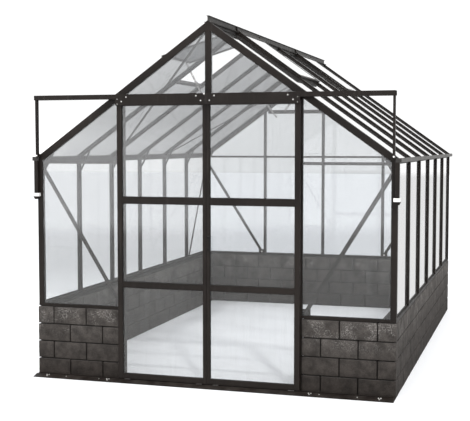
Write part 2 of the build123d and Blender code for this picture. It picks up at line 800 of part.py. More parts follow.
def make_track_struts():
    """Uprights that carry the ends of the head track on the eave corners."""
    with BuildPart() as struts:
        for side in SIDES:
            x_low, x_high = mirrored(side, *STRUT_X)
            y_low = STRUT_FRONT
            y_high = STRUT_FRONT + STRUT_DEPTH
            block((x_low, y_low, STRUT_BOTTOM), (x_high, y_high, TRACK_Z))
            foot_top = STRUT_BOTTOM + STRUT_FOOT
            block((x_low, y_high, STRUT_BOTTOM), (x_high, FRAME_FRONT - SEAM, foot_top))
        chamfer(struts.edges().filter_by(Axis.Z), 1)
    return struts


def make_head_plates():
    """Two cover plates over the doors' top rails and hangers."""
    with BuildPart() as plates:
        for side in SIDES:
            x_low, x_high = mirrored(side, LEAF_GAP, LEAF_OUTER_X + 2)
            low = (x_low, TRACK_FRONT - HEAD_PLATE_T, HEAD_PLATE_Z)
            block(low, (x_high, TRACK_FRONT, HEAD_TOP))
        chamfer(plates.faces().sort_by(Axis.Y)[0].edges(), 0.8)
    return plates


def make_bottom_track():
    """Ramped threshold along the front with a groove for the doors' guides."""
    slot_front = LEAF_MID - GUIDE_SLOT / 2
    slot_back = LEAF_MID + GUIDE_SLOT / 2
    ramp_front = FRONT - TRACK_DEPTH
    points = [
        (ramp_front, 0),
        (ramp_front, RAMP_LIP),
        (slot_front - SLOT_EDGE, RAMP_TOP),
        (slot_front, RAMP_TOP),
        (slot_front, TRACK_WALL),
        (slot_back, TRACK_WALL),
        (slot_back, RAMP_TOP),
        (FRONT, RAMP_TOP),
        (FRONT, 0),
    ]
    plane = Plane(origin=(-HALF_W + 2, 0, 0), x_dir=(0, 1, 0), z_dir=(1, 0, 0))
    with BuildPart() as track:
        with BuildSketch(plane):
            Polygon(*points, align=None)
        extrude(amount=WIDTH - 4)
    return track


def bolt_heads(plane, places, radius=6.0, height=4.0):
    """Hexagonal heads standing on a plane, in the part being built."""
    with BuildSketch(plane) as heads:
        with Locations(*places):
            RegularPolygon(radius, 6)
    extrude(heads.sketch, amount=height)


def make_frame_bolts():
    """Bolt heads of the head plates, track struts, ramp and braces."""
    head = [(side * x, z) for side in SIDES for x, z in PLATE_BOLTS]
    ramp_run = TRACK_DEPTH - (FRONT - LEAF_MID) - GUIDE_SLOT / 2 - SLOT_EDGE
    ramp_angle = atan2(RAMP_TOP - RAMP_LIP, ramp_run)
    ramp = Plane(
        origin=(0, FRONT - TRACK_DEPTH, RAMP_LIP),
        x_dir=(1, 0, 0),
        z_dir=(0, -sin(ramp_angle), cos(ramp_angle)),
    )
    clusters = []
    for x in (side * x for side in SIDES for x in RAMP_CLUSTERS):
        clusters += [(x - 8, 44), (x + 8, 44), (x, 28)]
    singles = [(side * x, 36) for side in SIDES for x in RAMP_SINGLES]
    inside_front = FRAME_FRONT + MEMBER + GUSSET_T + BRACE_T
    inside_rear = FRAME_REAR - MEMBER - GUSSET_T - BRACE_T
    front_foot = (FRONT_FOOT_X, BRACE_FOOT_Z)
    rear_foot = (REAR_FOOT_X, BRACE_FOOT_Z)
    with BuildPart() as bolts:
        bolt_heads(cross_section(TRACK_FRONT - HEAD_PLATE_T), head, 4.8, 3.5)
        strut_x = sum(STRUT_X) / 2
        strut_places = [(side * strut_x, STRUT_BOTTOM + STRUT_FOOT / 2) for side in SIDES]
        bolt_heads(cross_section(STRUT_FRONT), strut_places, 5, 3.5)
        bolt_heads(ramp, clusters, 4.5, 3.5)
        bolt_heads(ramp, singles, 3, 2.5)
        facing_rear = Plane(origin=(0, inside_front, 0), x_dir=(-1, 0, 0), z_dir=(0, 1, 0))
        front_ends = [(side * x, z) for side in SIDES for x, z in (BRACE_TOP, front_foot)]
        bolt_heads(facing_rear, front_ends, 6, 4)
        rear_ends = [(side * x, z) for side in SIDES for x, z in (BRACE_TOP, rear_foot)]
        bolt_heads(cross_section(inside_rear), rear_ends, 6, 4)
    return bolts


# ---------------------------------------------------------------- doors
def make_door_frame(side):
    """Two stiles and four rails with eased edges."""
    inner = LEAF_GAP + STILE_INNER
    outer = LEAF_OUTER_X - STILE_OUTER
    with BuildPart() as leaf:
        for span in ((LEAF_GAP, inner), (outer, LEAF_OUTER_X)):
            x_low, x_high = mirrored(side, *span)
            block((x_low, LEAF_FRONT, LEAF_BOTTOM), (x_high, LEAF_BACK, LEAF_TOP))
        for z_low, z_high in RAIL_ZS:
            x_low, x_high = mirrored(side, inner + SEAM, outer - SEAM)
            block((x_low, LEAF_FRONT, z_low), (x_high, LEAF_BACK, z_high))
        chamfer(leaf.edges(), 1.2)
    return leaf


def make_door_glass(side):
    """Three panes between the rails."""
    x_low, x_high = mirrored(side, LEAF_GAP + STILE_INNER + FIT, LEAF_OUTER_X - STILE_OUTER - FIT)
    half = PANE_T / 2
    with BuildPart() as glass:
        for (_, below), (above, _) in zip(RAIL_ZS, RAIL_ZS[1:]):
            low = (x_low, LEAF_MID - half, below + FIT)
            block(low, (x_high, LEAF_MID + half, above - FIT))
    return glass


def make_running_gear(side):
    """Hangers with their axles on the top rail, and guide blocks under the bottom rail."""
    plate_t = 3.0
    roller_front = LEAF_MID + 3
    axle_start = LEAF_MID - 4
    axle_end = roller_front + ROLLER_W + 2.5
    with BuildPart() as gear:
        for x in ROLLER_XS:
            centre = side * x
            foot_low = (centre - 18, LEAF_MID - 11, LEAF_TOP)
            block(foot_low, (centre + 18, LEAF_MID + 11, LEAF_TOP + plate_t))
            plate_low = (centre - 12, LEAF_MID - plate_t / 2, LEAF_TOP)
            block(plate_low, (centre + 12, LEAF_MID + plate_t / 2, ROLLER_Z + 8))
            with Locations((centre, (axle_start + axle_end) / 2, ROLLER_Z)):
                Cylinder(AXLE_R, axle_end - axle_start, rotation=(90, 0, 0))
            with Locations((centre, axle_end - 1, ROLLER_Z)):
                Cylinder(AXLE_R + 2, 2, rotation=(90, 0, 0))
            block(
                (centre - 20, LEAF_MID - 3, LEAF_BOTTOM - 14),
                (centre + 20, LEAF_MID + 3, LEAF_BOTTOM - 0.05),
            )
    return gear


def make_roller(x):
    """Grooveless track wheel with a running bore."""
    with BuildPart() as roller:
        with Locations((x, LEAF_MID + 3 + ROLLER_W / 2, ROLLER_Z)):
            Cylinder(ROLLER_R, ROLLER_W, rotation=(90, 0, 0))
            Cylinder(AXLE_R + RUN_CLEAR, ROLLER_W, rotation=(90, 0, 0), mode=Mode.SUBTRACT)
        rim = roller.edges().filter_by(GeomType.CIRCLE).group_by(SortBy.RADIUS)[-1]
        chamfer(rim, 0.8)
    return roller


def make_door_handle():
    """Upright pull on the right leaf's meeting stile."""
    low_z, high_z = HANDLE_ZS
    with BuildPart() as handle:
        block((24, LEAF_FRONT - 18, low_z), (34, LEAF_FRONT - 9, high_z))
        for z in (low_z, high_z - 14):
            block((8, LEAF_FRONT - 9, z), (34, LEAF_FRONT, z + 14))
        front = handle.faces().sort_by(Axis.Y)[0]
        fillet(front.edges(), 3)
    return handle


# ---------------------------------------------------------------- vents
def vent_bay(index):
    """The bars each side of a vent bay."""
    return BAR_YS[index], BAR_YS[index + 1]


def stay_face(index):
    """The front face of the stay in a vent bay."""
    y_low, y_high = vent_bay(index)
    return y_low + STAY_PLACE * (y_high - y_low)


def swung(side, points, angle):
    """Slope points turned with the sash, as X and Z."""
    return [slope(side, *turned(s, h, angle)) for s, h in points]


def make_vent_sash(side, index, angle):
    """Four rails, the top one with its hinge bead, and the ear and pin that carry the stay."""
    y_low, y_high = vent_bay(index)
    y_low -= 8
    y_high += 8

    def box(s_low, s_high, h_low=SASH_LOW_H, h_high=SASH_HIGH_H):
        return [(s_low, h_low), (s_high, h_low), (s_high, h_high), (s_low, h_high)]

    with BuildPart() as sash:
        with BuildSketch(cross_section(y_high)) as top_rail:
            Polygon(*swung(side, box(SASH_TOP_S, SASH_TOP_S + SASH_RAIL), angle), align=None)
            arm = box(HINGE_S, SASH_TOP_S + 2, HINGE_H + 1.5, HINGE_H + 5)
            Polygon(*swung(side, arm, angle), align=None)
            with Locations(slope(side, HINGE_S, HINGE_H)):
                Circle(5)
        extrude(amount=y_high - y_low)
        low_s = SASH_TOP_S + SASH_RAIL + SEAM
        rail = swung(side, box(low_s, SASH_END_S), angle)
        plate(rail, y_low, y_low + SASH_RAIL)
        plate(rail, y_high - SASH_RAIL, y_high)
        end_rail = swung(side, box(SASH_END_S - SASH_RAIL, SASH_END_S), angle)
        plate(end_rail, y_low + SASH_RAIL + SEAM, y_high - SASH_RAIL - SEAM)
        face = stay_face(index)
        s_rail = SASH_END_S - SASH_RAIL
        ear = [
            (STAY_S - 9, STAY_H - 9),
            (STAY_S + 9, STAY_H - 9),
            (s_rail, 0),
            (s_rail, 6),
            (s_rail - 12, 6),
            (STAY_S - 9, 0),
        ]
        plate(swung(side, ear, angle), face - 3.3, face - 0.3)
        with BuildSketch(cross_section(face + STAY_T + 2)) as pin:
            with Locations(swung(side, [(STAY_S, STAY_H)], angle)[0]):
                Circle(AXLE_R)
        extrude(pin.sketch, amount=STAY_T + 4)
    return sash


def make_vent_glass(side, index, angle):
    """The vent's pane inside its four rails."""
    y_low, y_high = vent_bay(index)
    inset = SASH_RAIL - 8 + FIT
    s_low = SASH_TOP_S + SASH_RAIL + FIT
    s_high = SASH_END_S - SASH_RAIL - FIT
    low, high = SASH_PANE_H, SASH_PANE_H + PANE_T
    corners = [(s_low, low), (s_high, low), (s_high, high), (s_low, high)]
    with BuildPart() as glass:
        plate(swung(side, corners, angle), y_low + inset, y_high - inset)
    return glass


def make_vent_stay(side, index, angle):
    """Flat bar with a row of peg holes, hanging from the sash's ear through the trimmer's peg line."""
    face = stay_face(index)
    pivot = turned(STAY_S, STAY_H, angle)
    lean = degrees(atan2(STAY_H - HINGE_H, STAY_S - HINGE_S)) + angle / 2
    hole_pitch = 44.0

    def along(distance, offset):
        point = (pivot[0] + offset, pivot[1] - distance)
        return slope(side, *turned(*point, lean, centre=pivot))

    half = STAY_W / 2
    ends = ((-8, half), (STAY_LENGTH, half), (STAY_LENGTH, -half), (-8, -half))
    with BuildPart() as stay:
        with BuildSketch(cross_section(face + STAY_T)):
            Polygon(*[along(d, w) for d, w in ends], align=None)
            with Locations(along(0, 0)):
                Circle(AXLE_R + RUN_CLEAR, mode=Mode.SUBTRACT)
            with Locations(*[along(hole_pitch * n, 0) for n in range(1, 7)]):
                Circle(4, mode=Mode.SUBTRACT)
        extrude(amount=STAY_T)
    return stay


def make_vent_trimmers():
    """Cross bars between the roof bars at the foot of each vent, each with its peg plate and peg."""
    low_end = SHOULDER_W / 2 + SEAM
    high_end = FLANGE_W / 2 + SEAM
    step = -CAP_T - SEAM
    peg_clear = 0.8
    with BuildPart() as trimmers:
        for side, index, _ in VENTS.values():
            y_low, y_high = vent_bay(index)
            foot_s = TRIMMER_S + TRIMMER_W
            lower = slope_box(side, TRIMMER_S, foot_s, SEAM - 28, step)
            plate(lower, y_low + low_end, y_high - low_end)
            upper = slope_box(side, TRIMMER_S, foot_s, step, -FLANGE_T - SEAM)
            plate(upper, y_low + high_end, y_high - high_end)
            face = stay_face(index) + STAY_T
            tab = slope_box(side, STAY_S - 7, TRIMMER_S, -29, -15)
            plate(tab, face + 7, face + 10)
            with BuildSketch(cross_section(face + 7)) as peg:
                with Locations(slope(side, STAY_S + 1, -22)):
                    Circle(AXLE_R)
            extrude(peg.sketch, amount=7 - peg_clear)
    return trimmers


# ---------------------------------------------------------------- every node
def side_name(side):
    return "left" if side < 0 else "right"


nodes = {name: make_wall(name) for name in ("wall_front", "wall_left", "wall_right", "wall_rear")}
nodes["wall_mortar"] = make_mortar()
nodes["sill_rails"] = make_sill_rails()
nodes["corner_posts"] = make_corner_posts()
nodes["gable_rafters"] = make_gable_rafters()
nodes["door_posts"] = make_door_posts()
nodes["door_head_beam"] = make_door_head_beam()
nodes["front_mullion"] = make_front_mullion()
nodes["rear_gable_bars"] = make_rear_gable_bars()
nodes["gable_transoms"] = make_gable_transoms()
nodes["eave_rails"] = make_eave_rails()
nodes["side_bars"] = make_side_bars()
nodes["roof_bars"] = make_roof_bars()
nodes["ridge_beam"] = make_ridge_beam()
nodes["ridge_cap"] = make_ridge_cap()
nodes["gutters"] = make_gutters()
nodes["downpipes"] = make_downpipes()
nodes["downpipe_collars"] = make_downpipe_collars()
nodes["knee_braces"] = make_knee_braces()
nodes["wind_braces"] = make_wind_braces()
nodes["gusset_plates"] = make_gusset_plates()
nodes["side_glass"] = make_side_glass()
nodes["roof_glass"] = make_roof_glass()
nodes["gable_glass"] = make_gable_glass()
nodes["door_track"] = make_door_track()
nodes["track_struts"] = make_track_struts()
nodes["head_plates"] = make_head_plates()
nodes["bottom_track"] = make_bottom_track()
nodes["frame_bolts"] = make_frame_bolts()
nodes["vent_trimmers"] = make_vent_trimmers()
nodes["door_handle"] = make_door_handle()
for side in SIDES:
    leaf = "door_" + side_name(side)
    nodes[leaf + "_frame"] = make_door_frame(side)
    nodes[leaf + "_glass"] = make_door_glass(side)
    nodes[leaf + "_running_gear"] = make_running_gear(side)
    for place, x in zip(("inner", "outer"), ROLLER_XS):
        nodes[leaf + "_roller_" + place] = make_roller(side * x)
for vent, (side, index, angle) in VENTS.items():
    nodes[vent + "_sash"] = make_vent_sash(side, index, angle)
    nodes[vent + "_glass"] = make_vent_glass(side, index, angle)
    nodes[vent + "_stay"] = make_vent_stay(side, index, angle)

os.makedirs("parts", exist_ok=True)
for name, node in nodes.items():
    node.part.label = name
    export_step(node.part, "parts/" + name + ".step")
print(len(nodes), "nodes")
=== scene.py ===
import json
import math
import random

import bmesh
import bpy
import numpy as np
from mathutils import Matrix, Vector, noise


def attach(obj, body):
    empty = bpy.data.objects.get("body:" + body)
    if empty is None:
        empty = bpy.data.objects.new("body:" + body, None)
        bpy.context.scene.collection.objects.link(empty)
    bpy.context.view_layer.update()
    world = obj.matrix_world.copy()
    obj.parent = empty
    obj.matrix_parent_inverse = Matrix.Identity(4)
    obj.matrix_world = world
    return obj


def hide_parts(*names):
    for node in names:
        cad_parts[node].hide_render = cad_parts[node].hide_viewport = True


# Walk-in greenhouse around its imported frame: block masonry, bolt heads, ridge clips, glazing seals
# and finishes. Metres, in the frame's own axes: +Z up, +Y towards the rear, the doors facing -Y.

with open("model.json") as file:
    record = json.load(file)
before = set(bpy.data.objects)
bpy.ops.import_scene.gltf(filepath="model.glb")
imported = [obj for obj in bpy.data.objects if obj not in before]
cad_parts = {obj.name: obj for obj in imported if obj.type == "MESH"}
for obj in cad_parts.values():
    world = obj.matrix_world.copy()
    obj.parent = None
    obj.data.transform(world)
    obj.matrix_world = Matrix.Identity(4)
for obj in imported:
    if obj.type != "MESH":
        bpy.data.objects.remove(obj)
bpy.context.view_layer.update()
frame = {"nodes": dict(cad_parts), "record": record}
nodes = frame["nodes"]
node_slots = {part["node"]: part["material_slot"] for part in frame["record"]["subparts"]}

MM = 0.001
WHITE = (1.0, 1.0, 1.0)

CAMERA_PLACE = (2.168, -8.392, 1.6505)
CAMERA_TILT_DOWN = 3.677
CAMERA_TURN = 16.812
CAMERA_LENS = 77.8
CAMERA_SENSOR = 36

SUN_TOWARDS = (0.302, -0.571, 0.764)
SUN_ENERGY = 1.15
SUN_ANGLE = 3.5

FLOOR_HALF = 50.0
FLOOR_DROP = 0.5 * MM
FLOOR_NEAR, FLOOR_FAR = 3.5, 6.0


# ---------------------------------------------------------------- camera, light and floor
def make_camera():
    """The photograph's view: eye level, a little to the right of the doors."""
    data = bpy.data.cameras.new("camera")
    data.lens = CAMERA_LENS
    data.sensor_width = CAMERA_SENSOR
    data.clip_start = 0.1
    data.clip_end = 200
    camera = bpy.data.objects.new("camera", data)
    camera.location = CAMERA_PLACE
    camera.rotation_euler = (math.radians(90 - CAMERA_TILT_DOWN), 0, math.radians(CAMERA_TURN))
    bpy.context.scene.collection.objects.link(camera)
    bpy.context.scene.camera = camera


def make_sun():
    """Soft key light, high over the viewer's right shoulder."""
    data = bpy.data.lights.new("key", "SUN")
    data.energy = SUN_ENERGY
    data.angle = math.radians(SUN_ANGLE)
    data.color = (1.0, 0.985, 0.965)
    sun = bpy.data.objects.new("key", data)
    towards = Vector(SUN_TOWARDS)
    sun.rotation_mode = "QUATERNION"
    sun.rotation_quaternion = towards.to_track_quat("Z", "Y")
    sun.location = towards * 10
    bpy.context.scene.collection.objects.link(sun)


class Wiring:
    """Short calls that add and join the nodes of one tree."""

    def __init__(self, tree):
        self.tree = tree
        tree.nodes.clear()

    def node(self, kind, **settings):
        made = self.tree.nodes.new(kind)
        for name, value in settings.items():
            setattr(made, name, value)
        return made

    def put(self, socket, value):
        if isinstance(value, bpy.types.NodeSocket):
            self.tree.links.new(value, socket)
        elif isinstance(value, (tuple, list)) and len(value) == 3 and socket.type == "RGBA":
            socket.default_value = (*value, 1)
        else:
            socket.default_value = value

    def math(self, operation, *values, clamp=False):
        made = self.node("ShaderNodeMath", operation=operation, use_clamp=clamp)
        for socket, value in zip(made.inputs, values):
            self.put(socket, value)
        return made.outputs[0]

    def mix(self, factor, a, b, blend="MIX"):
        made = self.node("ShaderNodeMix", data_type="RGBA", blend_type=blend)
        self.put(made.inputs[0], factor)
        self.put(made.inputs[6], a)
        self.put(made.inputs[7], b)
        return made.outputs[2]

    def spread(self, value, low, high, to_low=0.0, to_high=1.0, smooth=True):
        kind = "SMOOTHSTEP" if smooth else "LINEAR"
        made = self.node("ShaderNodeMapRange", interpolation_type=kind, clamp=True)
        for socket, given in zip(made.inputs, (value, low, high, to_low, to_high)):
            self.put(socket, given)
        return made.outputs[0]

    def noise(self, place, scale, detail=3.0, roughness=0.5):
        made = self.node("ShaderNodeTexNoise")
        self.put(made.inputs["Vector"], place)
        made.inputs["Scale"].default_value = scale
        made.inputs["Detail"].default_value = detail
        made.inputs["Roughness"].default_value = roughness
        made.inputs["Distortion"].default_value = 0.0
        return made.outputs["Fac"]

    def cells(self, place, scale):
        made = self.node("ShaderNodeTexVoronoi", feature="F1")
        self.put(made.inputs["Vector"], place)
        made.inputs["Scale"].default_value = scale
        return made.outputs["Distance"]

    def stretched(self, place, scale):
        made = self.node("ShaderNodeMapping")
        self.put(made.inputs["Vector"], place)
        made.inputs["Scale"].default_value = scale
        return made.outputs["Vector"]

    def bump(self, height, strength, distance, below=None):
        made = self.node("ShaderNodeBump")
        made.inputs["Strength"].default_value = strength
        made.inputs["Distance"].default_value = distance
        self.put(made.inputs["Height"], height)
        if below is not None:
            self.put(made.inputs["Normal"], below)
        return made.outputs["Normal"]


def make_world():
    """A bright studio, given by direction: x to the right, y away from the viewer, z up.

    It is pale all round and brighter overhead, with a lit screen on the viewer's side, a second
    one at the left of the horizon, and a greyer floor under the horizon, behind the viewer and
    far ahead.
    """
    world = bpy.data.worlds.new("studio")
    bpy.context.scene.world = world
    world.use_nodes = True
    wires = Wiring(world.node_tree)
    direction = wires.node("ShaderNodeTexCoord").outputs["Generated"]
    axes = wires.node("ShaderNodeSeparateXYZ")
    wires.put(axes.inputs[0], direction)
    x, y, z = axes.outputs[0], axes.outputs[1], axes.outputs[2]
    behind = wires.spread(y, 0.15, -0.25)
    below = wires.spread(z, -0.072, -0.092)
    strength = wires.spread(z, 0.0, 0.07, 1.1, 1.08)
    left_edge = wires.spread(x, -0.30, -0.36)
    left_screen = wires.math("MULTIPLY", left_edge, wires.spread(z, 0.03, 0.0))
    strength = wires.math("ADD", strength, wires.math("MULTIPLY", left_screen, 0.3))
    strength = wires.math("ADD", strength, wires.spread(z, 0.1, 0.7, 0.0, 0.25))
    screen = wires.math("MULTIPLY", behind, wires.spread(z, 0.42, 0.28))
    colour = wires.mix(behind, WHITE, (1.15, 1.15, 1.17))
    colour = wires.mix(screen, colour, (2.0, 2.0, 2.02))
    floor_behind = wires.math("MULTIPLY", behind, below)
    colour = wires.mix(floor_behind, colour, (0.72, 0.71, 0.70))
    under_horizon = wires.spread(z, -0.024, -0.032)
    floor_ahead = wires.math("MULTIPLY", wires.spread(y, 0.3, 0.6), under_horizon)
    colour = wires.mix(floor_ahead, colour, (0.75, 0.75, 0.75))
    shade = wires.node("ShaderNodeBackground")
    wires.put(shade.inputs["Color"], colour)
    wires.put(shade.inputs["Strength"], strength)
    end = wires.node("ShaderNodeOutputWorld")
    wires.put(end.inputs["Surface"], shade.outputs[0])


def make_floor():
    """A plain pale floor, greyer beyond the greenhouse, that stays out of the reflections."""
    mesh = bpy.data.meshes.new("floor")
    half = FLOOR_HALF
    corners = [(-half, -half, 0), (half, -half, 0), (half, half, 0), (-half, half, 0)]
    mesh.from_pydata(corners, [], [(0, 1, 2, 3)])
    floor = bpy.data.objects.new("floor", mesh)
    floor.location.z = -FLOOR_DROP
    bpy.context.scene.collection.objects.link(floor)
    floor.visible_glossy = False
    material = bpy.data.materials.new("floor_paint")
    material.use_nodes = True
    wires = Wiring(material.node_tree)
    place = wires.node("ShaderNodeTexCoord").outputs["Object"]
    tone = wires.noise(place, 1.4, 4.0)
    near = wires.mix(tone, (0.90, 0.915, 0.935), (0.925, 0.935, 0.95))
    reach = wires.node("ShaderNodeVectorMath", operation="LENGTH")
    wires.put(reach.inputs[0], place)
    far = wires.spread(reach.outputs["Value"], FLOOR_NEAR, FLOOR_FAR)
    colour = wires.mix(far, near, (0.725, 0.735, 0.75))
    shader = wires.node("ShaderNodeBsdfPrincipled")
    wires.put(shader.inputs["Base Color"], colour)
    shader.inputs["Roughness"].default_value = 0.9
    shader.inputs["Specular IOR Level"].default_value = 0.1
    end = wires.node("ShaderNodeOutputMaterial")
    wires.put(end.inputs["Surface"], shader.outputs[0])
    mesh.materials.append(material)


# ---------------------------------------------------------------- materials
class Finish(Wiring):
    """One material, with its object coordinates and facing ready for use."""

    def __init__(self, name):
        self.material = bpy.data.materials.new(name)
        self.material.use_nodes = True
        super().__init__(self.material.node_tree)
        self.place = self.node("ShaderNodeTexCoord").outputs["Object"]
        geometry = self.node("ShaderNodeNewGeometry")
        facing = self.node("ShaderNodeSeparateXYZ")
        self.put(facing.inputs[0], geometry.outputs["Normal"])
        self.upward = facing.outputs[2]
        self.sideways = self.math("ABSOLUTE", facing.outputs[0])
        spot = self.node("ShaderNodeSeparateXYZ")
        self.put(spot.inputs[0], self.place)
        self.height = spot.outputs[2]
        self.normal = geometry.outputs["Normal"]
        self.backfacing = geometry.outputs["Backfacing"]

    def finish(self, colour, roughness, normal=None, **plain):
        shader = self.node("ShaderNodeBsdfPrincipled")
        self.put(shader.inputs["Base Color"], colour)
        self.put(shader.inputs["Roughness"], roughness)
        if normal is not None:
            self.put(shader.inputs["Normal"], normal)
        for name, value in plain.items():
            shader.inputs[name.replace("_", " ")].default_value = value
        end = self.node("ShaderNodeOutputMaterial")
        self.put(end.inputs["Surface"], shader.outputs[0])
        return self.material

    def grey(self, value):
        """A grey colour of the given brightness."""
        made = self.node("ShaderNodeCombineXYZ")
        for socket in made.inputs:
            self.put(socket, value)
        return made.outputs[0]

    def edges(self, radius):
        """1 on sharp outer edges, 0 on flats."""
        bevel = self.node("ShaderNodeBevel", samples=3)
        bevel.inputs["Radius"].default_value = radius
        dot = self.node("ShaderNodeVectorMath", operation="DOT_PRODUCT")
        self.put(dot.inputs[0], bevel.outputs["Normal"])
        self.put(dot.inputs[1], self.normal)
        return self.spread(dot.outputs["Value"], 0.995, 0.86)


def powder_coat(name, base, dust_and_painted_light, dust_share, rough, side_light_share=0.0):
    """Fine-textured powder coat: orange peel, faint mottling, dust on upper faces, rubbed edges.

    The last argument is how far painted light lightens the faces along the long sides, those that
    look along x.
    """
    f = Finish(name)
    mottle = f.noise(f.place, 3.0, 4.0, 0.6)
    lighter = tuple(c * 1.35 for c in base)
    darker = tuple(c * 0.78 for c in base)
    colour = f.mix(f.spread(mottle, 0.3, 0.7), darker, lighter)
    # Painted light: faces that look along x are lightened towards the pale colour, as if lit from
    # the side.
    painted_side_light = f.math("MULTIPLY", f.spread(f.sideways, 0.6, 0.9), side_light_share)
    colour = f.mix(painted_side_light, colour, dust_and_painted_light)
    fleck = f.spread(f.noise(f.place, 900.0, 1.0), 0.62, 0.75)
    colour = f.mix(f.math("MULTIPLY", fleck, 0.25), colour, dust_and_painted_light)
    patch = f.spread(f.noise(f.place, 11.0, 5.0, 0.62), 0.35, 0.7)
    upper = f.spread(f.upward, 0.25, 0.95)
    dust = f.math("MULTIPLY", f.math("MULTIPLY", patch, upper), dust_share)
    streak = f.noise(f.stretched(f.place, (60.0, 60.0, 2.5)), 1.0, 3.0)
    runs = f.math("MULTIPLY", f.spread(streak, 0.56, 0.8), 0.12)
    colour = f.mix(f.math("ADD", dust, runs, clamp=True), colour, dust_and_painted_light)
    rubbed = f.edges(1.2 * MM)
    wear = f.math("MULTIPLY", rubbed, f.spread(f.noise(f.place, 35.0, 4.0), 0.45, 0.75))
    colour = f.mix(f.math("MULTIPLY", wear, 0.45), colour, tuple(c * 3.2 for c in base))
    peel = f.noise(f.place, 420.0, 2.0, 0.5)
    grain = f.noise(f.place, 1500.0, 1.0)
    normal = f.bump(f.math("ADD", peel, f.math("MULTIPLY", grain, 0.5)), 0.18, 0.3 * MM)
    roughness = f.spread(f.noise(f.place, 26.0, 4.0), 0.25, 0.75, rough - 0.07, rough + 0.1)
    return f.finish(colour, roughness, normal, Specular_IOR_Level=0.14)


def split_block():
    """Dark cast block: coarse aggregate, pale bloom in the top course, painted shade that darkens it
    towards the bottom and in its pits, painted light on its upward faces.
    """
    f = Finish("block")
    tone = f.node("ShaderNodeAttribute", attribute_name="tone").outputs["Fac"]
    # Painted shade: the blocks darken towards the foot of the wall.
    rise = f.spread(f.height, 0.02, 0.49, smooth=False)
    base = f.mix(rise, (0.0190, 0.0156, 0.0134), (0.045, 0.040, 0.036))
    warm = f.mix(rise, (0.031, 0.026, 0.023), (0.070, 0.064, 0.059))
    base = f.mix(f.math("MULTIPLY", tone, 0.5), base, warm)
    cloud = f.spread(f.noise(f.place, 14.0, 5.0, 0.6), 0.32, 0.68, 0.66, 1.34)
    base = f.mix(1.0, base, f.grey(cloud), "MULTIPLY")
    sand = f.noise(f.place, 260.0, 4.0, 0.7)
    base = f.mix(1.0, base, f.grey(f.spread(sand, 0.3, 0.72, 0.62, 1.42)), "MULTIPLY")
    pits = f.spread(f.cells(f.place, 210.0), 0.05, 0.30)
    # Painted shade: the pits, bumped in as hollows, are darkened towards near black.
    painted_pit_shade = f.math("MULTIPLY", f.math("SUBTRACT", 1.0, pits), 0.5)
    base = f.mix(painted_pit_shade, base, (0.010, 0.009, 0.008))
    bloom_zone = f.spread(f.noise(f.place, 9.0, 3.0, 0.6), 0.44, 0.62)
    bloom_high = f.spread(f.height, 0.25, 0.44)
    speck = f.spread(f.noise(f.place, 120.0, 3.0, 0.75), 0.50, 0.62)
    bloom = f.math("MULTIPLY", f.math("MULTIPLY", bloom_zone, bloom_high), speck)
    base = f.mix(f.math("MULTIPLY", bloom, 0.62), base, (0.30, 0.285, 0.27))
    # Painted light: upward faces are lightened, as if lit from above.
    upper = f.spread(f.upward, 0.5, 1.0)
    base = f.mix(f.math("MULTIPLY", upper, 0.5), base, (0.105, 0.098, 0.092))
    coarse = f.noise(f.place, 95.0, 4.0, 0.65)
    normal = f.bump(coarse, 0.55, 2.2 * MM)
    fine = f.math("ADD", sand, f.math("MULTIPLY", pits, 0.6))
    normal = f.bump(fine, 0.5, 0.8 * MM, normal)
    roughness = f.spread(coarse, 0.3, 0.7, 0.82, 0.97)
    return f.finish(base, roughness, normal, Specular_IOR_Level=0.16)


def raked_mortar():
    """Dark sandy mortar, set back in its joints."""
    f = Finish("mortar")
    sand = f.noise(f.place, 340.0, 4.0, 0.7)
    colour = f.mix(f.spread(sand, 0.3, 0.7), (0.010, 0.009, 0.008), (0.024, 0.021, 0.019))
    roughness = f.spread(sand, 0.3, 0.7, 0.88, 0.98)
    return f.finish(colour, roughness, f.bump(sand, 0.6, 1.0 * MM), Specular_IOR_Level=0.1)


# What a pane lets through: seen square on, at a slant, and steeply.
GLASS_TINT = (0.925, 0.930, 0.934)
GLASS_SLANT_TINT = (0.765, 0.770, 0.772)
GLASS_STEEP_TINT = (0.548, 0.552, 0.556)
GLASS_FILM = 0.035
REAR_TINT = (0.866, 0.872, 0.876)
# Facing is 0 square on and 1 edge on. Above this the pane turns into a mirror.
MIRROR_START, MIRROR_FULL, MIRROR_SHARE = 0.825, 0.86, 0.93
GLASS_IOR = 1.5


